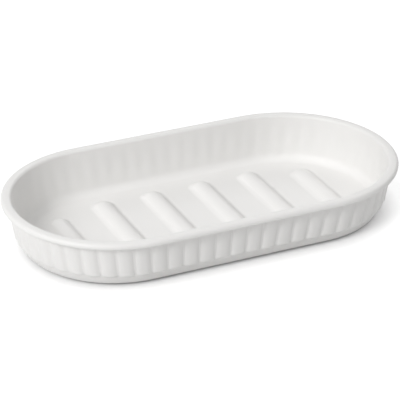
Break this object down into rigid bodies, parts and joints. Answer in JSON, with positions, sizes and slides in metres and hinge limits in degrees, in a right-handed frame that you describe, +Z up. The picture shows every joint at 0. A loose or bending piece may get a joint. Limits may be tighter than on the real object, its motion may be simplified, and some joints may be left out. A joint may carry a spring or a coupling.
{
  "type": "soap dish",
  "caption": "Shallow oval soap dish with a rolled lip, a reeded outer wall, raised ridges across the floor and small soft pads under it.",
  "frame": {"origin": "middle of the plane that the four pads stand on", "axes": "+X along the dish, +Y across it, +Z up"},
  "size_m": [0.15, 0.0816, 0.0198],
  "materials": {
    "dish": "satin white, moulded",
    "pads": "matte"
  },
  "bodies": {
    "root": {"dish_body": "dish", "pad_front_left": "pads", "pad_front_right": "pads", "pad_back_left": "pads", "pad_back_right": "pads"}
  },
  "joints": []
}
